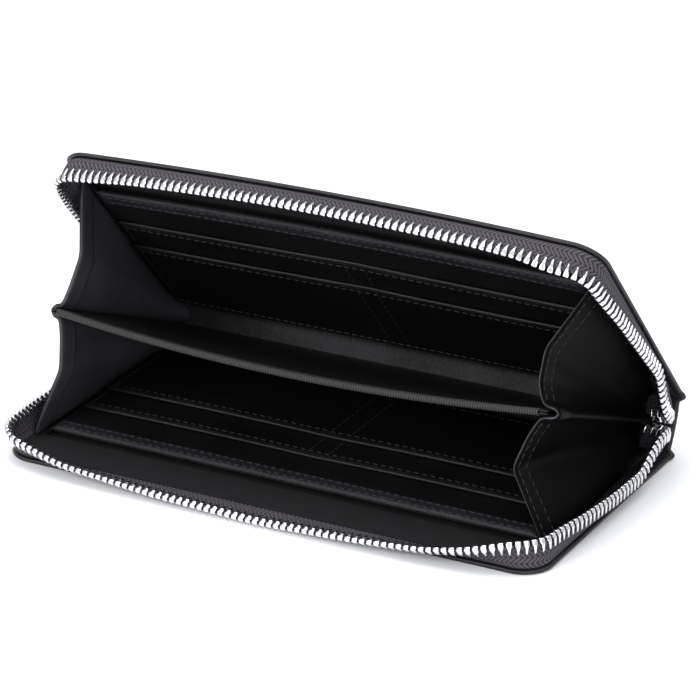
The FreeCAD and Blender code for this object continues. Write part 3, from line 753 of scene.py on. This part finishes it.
def spine_inside(side):
    """Half of the leather that lines the spine, from behind the card slots to the divider's root."""
    half = PANEL_HIGH[0]
    floor = LINING_HIGH[2] + 0.45
    start = PANEL_HIGH[1] + 0.6
    wall = HINGE_Y - 0.9
    profile = rounded_path([(0, start, floor), (0, wall, floor), (0, wall, MIDDLE)], 2.2, 9)
    profile = resampled(profile, 22)
    x = np.linspace(-half, half, 61)
    grid = np.repeat(profile[:, None, :], len(x), axis=1)
    grid[..., 0] = x[None, :]
    shares = smooth((HINGE_Y - 0.4 - profile[:, 1]) / 3.0)
    share_grid = np.repeat(shares[:, None], len(x), axis=1)
    grid = placed(grid, side, share_grid)
    piece = bent_sheet(f"{side}_spine_facing", grid, 0.6, COARSE_LEATHER)
    if side == "lower":
        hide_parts("spine_lining")


# ---- zip

TAPE_INSET = 0.5
TAPE_SKIN = 0.6
TAPE_CORD = 0.85
TAPE_ROOT = 1.45
TAPE_BEND = 1.5
TAPE_REACH = 8.8
TAPE_MARGIN = 1.4
TAIL_RADIUS = 6.0
TAIL_TUCK = 2.5
TAIL_DEPTH = 6.5
LEFT_END_SETBACK = 2.8
PITCH = 2.6
TEETH_END = 12.0

# How the tape stands, against the distance in mm along the zip from the right end of the straight side:
# along the right side, round the corner, along the front and round to the left side. Each row is the
# distance, the lean outwards from upright, and how far the tape curls back up towards its teeth, in degrees.
ZIP_LEAN = {
    "lower": (
        (-10, 12, 30), (0, 24, 44), (16, 36, 66), (40, 32, 60), (60, 20, 40),
        (76, 0, 8), (88, -6, 0), (97, 32, 0), (105, 50, 0), (120, 68, 0),
        (145, 79, 0), (180, 88, 0), (220, 80, 0), (255, 64, 0), (270, 42, 0),
        (284, 8, 0), (300, 20, 0), (330, 22, 0), (355, 10, 0), (370, 0, 0),
    ),
    "upper": (
        (-10, 12, 20), (0, 24, 36), (16, 31, 48), (40, 20, 36), (60, 8, 20),
        (82, -24, 0), (94, -18, 0), (106, 18, 0), (125, 25, 0), (160, 28, 0),
        (200, 29, 0), (250, 22, 0), (270, 11, 0), (284, 2, 0), (300, 30, 0),
        (330, 36, 0), (355, 16, 0), (370, 0, 0),
    ),
}
# The curl runs between these shares of the tape's reach, and the root leans more to make up for it.
CURL_START = 0.45
CURL_END = 0.95
ROOT_SHARE_OF_CURL = 0.35
SECTION_PARTS = 28


def zip_path(samples=900):
    """The zip line in plan, from its tucked right end round the three sides to its left end."""
    h = HALF - TAPE_INSET
    f = FRONT + TAPE_INSET
    r = CORNER - TAPE_INSET
    end_y = HINGE_Y - TAIL_DEPTH
    turn = np.linspace(0, math.pi / 2, 24)
    path = [(h - TAIL_RADIUS - TAIL_TUCK, end_y)]
    tail_x = h - TAIL_RADIUS
    path += [(tail_x + TAIL_RADIUS * math.sin(a), end_y - TAIL_RADIUS * (1 - math.cos(a))) for a in turn]
    path += [(h - r + r * math.cos(a), f + r - r * math.sin(a)) for a in turn]
    path += [(-(h - r) - r * math.sin(a), f + r - r * math.cos(a)) for a in turn]
    path += [(-h, HINGE_Y - LEFT_END_SETBACK)]
    return resampled(np.array([(x, y, 0.0) for x, y in path]), samples)


ZIP_LINE = zip_path()
ZIP_STEPS = np.concatenate([[0], np.cumsum(np.linalg.norm(np.diff(ZIP_LINE, axis=0), axis=1))])
ZIP_LENGTH = ZIP_STEPS[-1]
TAIL_LENGTH = TAIL_TUCK + TAIL_RADIUS * math.pi / 2
LEAN_STEPS = np.arange(-30.0, 400.0, 1.0)


def eased_table(side, column, reach=9):
    """One of the lean table's angles at every millimetre, with its corners eased."""
    table = np.array(ZIP_LEAN[side], float)
    line = np.interp(LEAN_STEPS, table[:, 0], table[:, column])
    window = np.hanning(2 * reach + 1)
    padded = np.pad(line, reach, mode="edge")
    return np.convolve(padded, window / window.sum(), mode="valid")


LEANS = {side: eased_table(side, 1) for side in SIDES}
CURLS = {side: eased_table(side, 2) for side in SIDES}


def zip_angle(side, at, run):
    """The tape's slope over the cover, at distances along the zip and up the tape: 0 lies flat outwards."""
    along = at - TAIL_LENGTH
    curl = np.interp(along, LEAN_STEPS, CURLS[side])
    lean = np.interp(along, LEAN_STEPS, LEANS[side]) + ROOT_SHARE_OF_CURL * curl
    slope = np.minimum(np.degrees(np.maximum(run, 0) / TAPE_BEND), 90 - lean)
    curled = smooth((run / TAPE_REACH - CURL_START) / (CURL_END - CURL_START))
    return np.radians(slope + curl * curled)


def zip_share(x, y, depth):
    """How far the zip's edge follows the cover: 1 on the cover, 0 where both chains meet at the spine."""
    right = smooth((depth - 9.0) / 24.0)
    left = smooth((depth - 13.0) / 22.0)
    return np.where(x > 0, right, left)


def zip_section(side, at, reach):
    """Points at stations along the zip and distances up the tape, with their shares."""
    at = np.asarray(at, float)
    reach = np.asarray(reach, float)
    x = np.interp(at, ZIP_STEPS, ZIP_LINE[:, 0])
    y = np.interp(at, ZIP_STEPS, ZIP_LINE[:, 1])
    ahead_x, ahead_y = (
        np.interp(at + 0.5, ZIP_STEPS, ZIP_LINE[:, axis]) - np.interp(at - 0.5, ZIP_STEPS, ZIP_LINE[:, axis])
        for axis in (0, 1)
    )
    size = np.maximum(np.hypot(ahead_x, ahead_y), 1e-9)
    out_x, out_y = -ahead_y / size, ahead_x / size
    depth = HINGE_Y - y
    edge_share = zip_share(x, y, depth)
    start = 4.2 * (1 - smooth((depth - 4) / 12)) - TAPE_MARGIN
    t = start + (TAPE_REACH - start) * reach
    a = np.full(np.broadcast(at, t).shape, -TAPE_BEND)
    h = np.full(a.shape, TAPE_ROOT)
    for part in (np.arange(SECTION_PARTS) + 0.5) / SECTION_PARTS:
        slope = zip_angle(side, at, t * part)
        a += np.cos(slope) * t / SECTION_PARTS
        h += np.sin(slope) * t / SECTION_PARTS
    share = 1 - (1 - edge_share) * (0.25 + 0.75 * np.clip(reach, 0, 1))
    near_spine = np.minimum(share, edge_share + 0.35 * smooth((depth - 3) / 9))
    share = np.where(depth < 12, near_spine, share)
    flat = np.stack([x + out_x * a, y + out_y * a, h], axis=-1)
    return placed(flat, side, share), share


def zip_tape(side):
    """One woven tape, from under the cover's edge up to the corded edge that carries the teeth."""
    stations = np.linspace(0, ZIP_LENGTH, 420)
    reaches = np.concatenate([np.linspace(0, 0.9, 13), [0.95, 1.0]])
    s, t = np.meshgrid(stations, reaches, indexing="ij")
    grid, share = zip_section(side, s, t)
    skin = np.full(grid.shape[:2], TAPE_SKIN)
    skin[:, -2:] = TAPE_CORD
    piece = bent_sheet(f"{side}_tape", grid.transpose(1, 0, 2), skin.T, TAPE)
    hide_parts(f"{side}_zip_tape")
    if side == "lower":
        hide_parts("left_zip_tail", "right_zip_tail")


# A tooth's outline across the tape, half of it: how far out, and how far up from the tape's edge.
TOOTH_HALF = [
    (0.45, 0.15),
    (0.45, -1.9),
    (0.62, -2.45),
    (0.98, -2.4),
    (1.3, -1.9),
    (1.42, 0.2),
    (1.3, 0.75),
    (0.95, 1.15),
    (0.85, 1.75),
    (0.5, 2.15),
]
TOOTH_PROFILE = TOOTH_HALF + [(-out, up) for out, up in reversed(TOOTH_HALF)]
LEG_THICKNESS = (0.45, 1.0, 1.75)
LEG_HEIGHTS = (-2.45, 0.1, 1.0)
TOOTH_LAYERS = [(-0.5, 0.17), (-0.38, 0.04), (-0.15, 0.0), (0.15, 0.0), (0.38, 0.04), (0.5, 0.17)]


def tooth_shape():
    """One tooth at the origin: (along, across, up) points, and its faces."""
    outline = np.array(TOOTH_PROFILE)
    before = np.roll(outline, 1, axis=0)
    after = np.roll(outline, -1, axis=0)
    tangent = after - before
    inward = np.stack([-tangent[:, 1], tangent[:, 0]], axis=1)
    inward /= np.linalg.norm(inward, axis=1, keepdims=True)
    area = np.sum(outline[:, 0] * after[:, 1] - after[:, 0] * outline[:, 1])
    if area < 0:
        inward = -inward
    points = []
    for along, inset in TOOTH_LAYERS:
        ring = outline + inward * inset
        for v, w in ring:
            thick = np.interp(w, LEG_HEIGHTS, LEG_THICKNESS)
            points.append((along * thick, v, w))
    n = len(outline)
    faces = [tuple(range(n)), tuple(range((len(TOOTH_LAYERS) - 1) * n, len(TOOTH_LAYERS) * n))]
    for layer in range(len(TOOTH_LAYERS) - 1):
        for j in range(n):
            a = layer * n + j
            b = layer * n + (j + 1) % n
            faces.append((a, b, b + n, a + n))
    return np.array(points), faces


def zip_teeth(side):
    """One chain of metal teeth, crimped on the tape's corded edge at an even pitch along it."""
    shape, shape_faces = tooth_shape()
    first = PITCH * (0.25 if side == "lower" else 0.75)
    fine = np.arange(0, ZIP_LENGTH - TEETH_END, 0.5)
    edge = zip_section(side, fine, np.ones(len(fine)))[0]
    run = np.concatenate([[0], np.cumsum(np.linalg.norm(np.diff(edge, axis=0), axis=1))])
    stations = np.interp(np.arange(first, run[-1], PITCH), run, fine)
    points, faces, shares = [], [], []
    for at in stations:
        around, share = zip_section(side, [at - 0.4, at, at + 0.4, at], [1, 1, 1, 0.8])
        along = around[2] - around[0]
        along = along / np.linalg.norm(along)
        up = around[1] - around[3]
        up = up - along * (up @ along)
        up = up / np.linalg.norm(up)
        across = np.cross(along, up)
        wobble = 1 + random.uniform(-0.02, 0.02)
        base = len(points)
        for u, v, w in shape * wobble:
            points.append(around[1] + along * u + across * v + up * w)
            shares.append(share[1])
        faces += [tuple(base + k for k in face) for face in shape_faces]
    piece = make_mesh(f"{side}_teeth", points, faces, TEETH, sharp=50)
    bend(piece)
    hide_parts(f"{side}_zip_teeth", f"{side}_top_stop")


# ---- divider

DIVIDER_SAG = 4.9
CORNER_SAG = 1.0
LEAF_SKIN = 0.7
LEAF_OFFSET = 0.46
NOSE = 0.98


def divider_points(x, forward, offset):
    """Points of the divider's middle surface, off it by an offset, sagging in the middle of the mouth."""
    bow = CORNER_SAG + DIVIDER_SAG * np.clip(1 - (x / DIVIDER_HALF) ** 2, 0, 1)
    sag = bow * np.clip(forward / DIVIDER_DEPTH, 0, 1) ** 1.6
    flat = np.stack([x, HINGE_Y - forward, MIDDLE + offset - sag], axis=-1)
    return on_spine(flat)


def on_divider(piece, node):
    """The piece moves with the spine in a CAD node's place."""
    middle = on_spine(np.array([0.0, HINGE_Y, MIDDLE]))
    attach(piece, "spine")
    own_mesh(piece)
    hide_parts(node)


def divider():
    """The divider's two leaves, the stiffener between them, and the binding round its front edge."""
    across = np.linspace(-DIVIDER_HALF, DIVIDER_HALF, 71)
    x, forward = np.meshgrid(across, np.linspace(0.8, DIVIDER_DEPTH, 41))
    for name, offset, node in (
        ("lower", -LEAF_OFFSET, "divider_lower_leaf"),
        ("upper", LEAF_OFFSET, "divider_upper_leaf"),
    ):
        piece, _ = sheet(f"divider_{name}", divider_points(x, forward, offset), LEAF_SKIN, SMOOTH_LEATHER)
        on_divider(piece, node)
    core_x = x * (DIVIDER_HALF - 2) / DIVIDER_HALF
    core, _ = sheet("divider_stiffener", divider_points(core_x, forward * 0.98, 0.0), 0.2, BOARD)
    on_divider(core, "divider_core")
    half = DIVIDER_HALF - 2.5
    turn = np.linspace(0.3, math.pi - 0.3, 9)
    nose = [(DIVIDER_DEPTH - 3.4, NOSE - 0.04), (DIVIDER_DEPTH - 0.4, NOSE)]
    nose += [(DIVIDER_DEPTH + NOSE * math.sin(a), NOSE * math.cos(a)) for a in turn]
    nose += [(DIVIDER_DEPTH - 0.4, -NOSE), (DIVIDER_DEPTH - 3.4, 0.04 - NOSE)]
    nose = np.array(nose)
    x = np.linspace(-half, half, 121)
    grid = np.stack([divider_points(x, np.full(len(x), f), o) for f, o in nose])
    band, _ = sheet("divider_binding_strip", grid, 0.35, BINDING)
    on_divider(band, "divider_edge_binding")


# ---- gussets

GUSSET_SKIN = 0.8
GUSSET_HEM = 8.0
GUSSET_REAR = 3.5
GUSSET_DEPTH = 84.0
EDGE_DEPTH = 87.5

# Each half gusset's front edge at the mouth: the foot's distance from the wallet's middle and its height,
# the pleat's distance and how far up it is, and the distance where the leather turns to the divider.
GUSSET_SHAPES = {
    ("left", "lower"): (97.0, 2.6, 88.2, 0.54, 88.6),
    ("left", "upper"): (97.0, 2.6, 88.5, 0.56, 88.8),
    ("right", "lower"): (94.3, 2.6, 81.5, 0.54, 86.0),
    ("right", "upper"): (95.5, 2.6, 85.0, 0.57, 86.0),
}
# How far the ridge round the divider's edge stands from the middle, at the spine and at the mouth.
RIDGE_HALF = {"left": (92.6, 93.0), "right": (93.4, 95.2)}
EDGE_LEAD = 2.0
TURN_IN = 0.84
BEND_AT_SPINE = 5.0
BEND_AT_MOUTH = 2.4
# How much of the cover's turn each corner of the section takes, from the divider's edge to the foot.
CORNER_SHARES = np.array([0, 0, 0, 0.16, 0.5, 1.0, 1.0])


def gusset_half(hand, side, stations, samples=46):
    """A gusset's lower or upper half, for stations from 0 at the spine to 1 at the mouth: points, shares."""
    sign = -1 if hand == "left" else 1
    off = -1 if side == "lower" else 1
    foot_x, foot_rise, pleat_x, pleat_up, knee_x = GUSSET_SHAPES[hand, side]
    rest_x = DIVIDER_HALF - 3.5
    grid, shares = [], []
    for out in stations:
        foot_depth = GUSSET_REAR + (GUSSET_DEPTH - GUSSET_REAR) * out
        edge_depth = GUSSET_REAR - EDGE_LEAD + (EDGE_DEPTH - GUSSET_REAR + EDGE_LEAD) * out
        opening = smooth(out * 1.15)
        pleat = rest_x + (pleat_x - rest_x) * opening
        knee = rest_x + (knee_x - rest_x) * opening
        nose = smooth((out - 0.86) / 0.12)
        floor = LINING_HIGH[2] + GUSSET_SKIN / 2
        near_x = foot_x - 1.2 * (1 - opening)
        foot = placed([[sign * near_x, HINGE_Y - foot_depth, floor]], side)[0]
        rise = foot_rise * smooth(out * 4 + 0.3)
        shoulder = placed([[sign * (near_x - 0.6), HINGE_Y - foot_depth, floor + rise]], side)[0]

        def beside(half_x, offset):
            sag = CORNER_SAG * (edge_depth / DIVIDER_DEPTH) ** 1.6
            return on_spine(np.array([sign * half_x, HINGE_Y - edge_depth, MIDDLE + offset - sag]))

        rear_ridge, front_ridge = RIDGE_HALF[hand]
        ridge_x = rear_ridge + (front_ridge - rear_ridge) * out
        ridge = beside(ridge_x, 0.0)
        loop = beside(ridge_x - 0.5 - 0.5 * nose, off * (0.5 + 1.3 * nose))
        grip = beside(DIVIDER_HALF - 2.0, off * 2.0)
        turn_in = shoulder + (grip - shoulder) * TURN_IN
        turn_in[0] = sign * knee
        crease = shoulder + (grip - shoulder) * pleat_up
        crease[0] = sign * pleat
        radius = BEND_AT_SPINE - (BEND_AT_SPINE - BEND_AT_MOUTH) * opening
        corners = [ridge, loop, grip, turn_in, crease, shoulder, foot]
        line = rounded_path(corners, radius, 7)
        legs = [np.linalg.norm(b - a) for a, b in zip(corners, corners[1:])]
        lengths = np.concatenate([[0], np.cumsum(legs)])
        grid.append(resampled(line, samples))
        shares.append(np.interp(np.linspace(0, lengths[-1], samples), lengths, CORNER_SHARES))
    return np.array(grid), np.array(shares)


def paint_inward_light(piece, hand):
    """The faces of a gusset that look into the wallet get a lighter copy of its leather: painted light,
    standing in for light thrown back onto them by the wallet's cards and notes, which are not modelled.
    """
    inward = 1 if hand == "left" else -1
    piece.data.materials.append(GUSSET_PAINTED_LIGHT)
    for face in piece.data.polygons:
        if face.normal.x * inward > 0:
            face.material_index = 1


def gusset(hand):
    """One end's pleated leather in two halves, each with a doubled hem along the mouth and its stitches."""
    hem_start = 1 - GUSSET_HEM / (GUSSET_DEPTH - GUSSET_REAR)
    hem_skin = GUSSET_SKIN + 0.55
    stitch_rise = (GUSSET_SKIN + 0.5) / 2
    for side in SIDES:
        grid, shares = gusset_half(hand, side, np.linspace(0, 0.995, 30))
        piece = bent_sheet(f"{hand}_gusset_{side}_half", grid, GUSSET_SKIN, GUSSET_LEATHER)
        paint_inward_light(piece, hand)
        if side == "lower":
            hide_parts(f"{hand}_gusset")
        grid, shares = gusset_half(hand, side, np.linspace(hem_start, 1.0, 8))
        hem = bent_sheet(f"{hand}_gusset_{side}_hem", grid, hem_skin, GUSSET_LEATHER)
        paint_inward_light(hem, hand)
        normals = grid_normals(grid)
        paths = []
        for row in (1, 6):
            for face in (-1, 1):
                normal = normals[row, 6:-2] * face
                paths.append((grid[row, 6:-2] + normal * stitch_rise, normal, shares[row, 6:-2]))
        thread, thread_shares = stitches(f"{hand}_gusset_{side}_stitches", paths)
        bend(thread)


# ---- metal parts


def softened(name, node, body, width):
    """A cast or pressed piece like its CAD node, with its edges rounded."""
    part = frame["nodes"][node]
    mesh = part.data.copy()
    mesh.name = name
    mesh.transform(part.matrix_world)
    work = bmesh.new()
    work.from_mesh(mesh)
    bmesh.ops.remove_doubles(work, verts=work.verts, dist=0.01 * MM)
    bmesh.ops.dissolve_limit(work, angle_limit=math.radians(1), verts=work.verts, edges=work.edges)
    bmesh.ops.bevel(
        work,
        geom=[e for e in work.edges if len(e.link_faces) == 2 and e.calc_face_angle() > math.radians(35)],
        offset=width * MM,
        offset_type="OFFSET",
        segments=3,
        profile=0.5,
        affect="EDGES",
        clamp_overlap=True,
    )
    bmesh.ops.recalc_face_normals(work, faces=work.faces)
    work.to_mesh(mesh)
    work.free()
    mesh.materials.clear()
    mesh.materials.append(NICKEL)
    piece = shown(name, mesh, sharp=40)
    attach(piece, body)
    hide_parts(node)


def metal_parts():
    softened("slider_casting", "slider_body", "slider", 0.22)
    softened("pull_plate", "pull_tab", "pull", 0.25)
    softened("end_stop", "bottom_stop", "spine", 0.3)


# ---- stage, light and camera


FLOOR_HALF = 3.0


def stage():
    """A pale floor just under the wallet."""
    mesh = bpy.data.meshes.new("floor")
    corners = [(x * FLOOR_HALF, y * FLOOR_HALF, 0) for x, y in ((-1, -1), (1, -1), (1, 1), (-1, 1))]
    mesh.from_pydata(corners, [], [(0, 1, 2, 3)])
    n = Nodes("pale_floor")
    n.shader.inputs["Base Color"].default_value = (0.93, 0.935, 0.95, 1)
    n.shader.inputs["Roughness"].default_value = 0.55
    n.shader.inputs["Specular IOR Level"].default_value = 0.2
    mesh.materials.append(n.material)
    floor = bpy.data.objects.new("floor", mesh)
    floor.location.z = -0.0002
    bpy.context.scene.collection.objects.link(floor)


def area_light(name, where, aim, size, power, colour=(1, 1, 1)):
    data = bpy.data.lights.new(name, "AREA")
    data.shape = "RECTANGLE"
    data.size, data.size_y = size
    data.energy = power
    data.color = colour
    lamp = bpy.data.objects.new(name, data)
    lamp.location = where
    lamp.rotation_euler = (Vector(aim) - Vector(where)).to_track_quat("-Z", "Y").to_euler()
    bpy.context.scene.collection.objects.link(lamp)


def lights():
    world = bpy.data.worlds.new("studio")
    world.use_nodes = True
    background = world.node_tree.nodes["Background"]
    background.inputs["Color"].default_value = (0.93, 0.95, 1.0, 1)
    background.inputs["Strength"].default_value = 0.75
    bpy.context.scene.world = world
    area_light("overhead", (0.0, 0.1, 1.3), (0, 0, 0.02), (1.5, 1.1), 14)
    area_light("front_left", (-0.55, -1.25, 0.8), (0, 0, 0.03), (0.7, 0.6), 12)
    area_light("right_front", (0.95, -0.95, 0.5), (-0.05, 0, 0.04), (0.4, 0.4), 5, (0.97, 0.98, 1.0))


CAMERA_AZIMUTH = math.radians(29.124)
CAMERA_ELEVATION = math.radians(23.043)
CAMERA_ROLL = math.radians(0.788)
CAMERA_DISTANCE = 1.1577
CAMERA_TARGET = Vector((0.00638, 0.0, 0.04044))
CAMERA_LENS = 180.84


def camera():
    data = bpy.data.cameras.new("camera")
    data.lens = CAMERA_LENS
    data.sensor_width = 36
    data.clip_end = 20
    view = bpy.data.objects.new("camera", data)
    back = Vector(
        (
            math.sin(CAMERA_AZIMUTH) * math.cos(CAMERA_ELEVATION),
            -math.cos(CAMERA_AZIMUTH) * math.cos(CAMERA_ELEVATION),
            math.sin(CAMERA_ELEVATION),
        )
    )
    view.location = CAMERA_TARGET + back * CAMERA_DISTANCE
    aim = (-back).to_track_quat("-Z", "Y").to_matrix().to_4x4()
    view.rotation_euler = (aim @ Matrix.Rotation(-CAMERA_ROLL, 4, "Z")).to_euler()
    bpy.context.scene.collection.objects.link(view)
    bpy.context.scene.camera = view
    bpy.context.scene.view_settings.view_transform = "Standard"


# ---- make everything

for cover in SIDES:
    outer_leather(cover)
    cover_inside(cover)
    card_panel(cover)
    slot_rows(cover)
    spine_inside(cover)
    zip_tape(cover)
    zip_teeth(cover)
divider()
gusset("left")
gusset("right")
metal_parts()
stage()
lights()
camera()
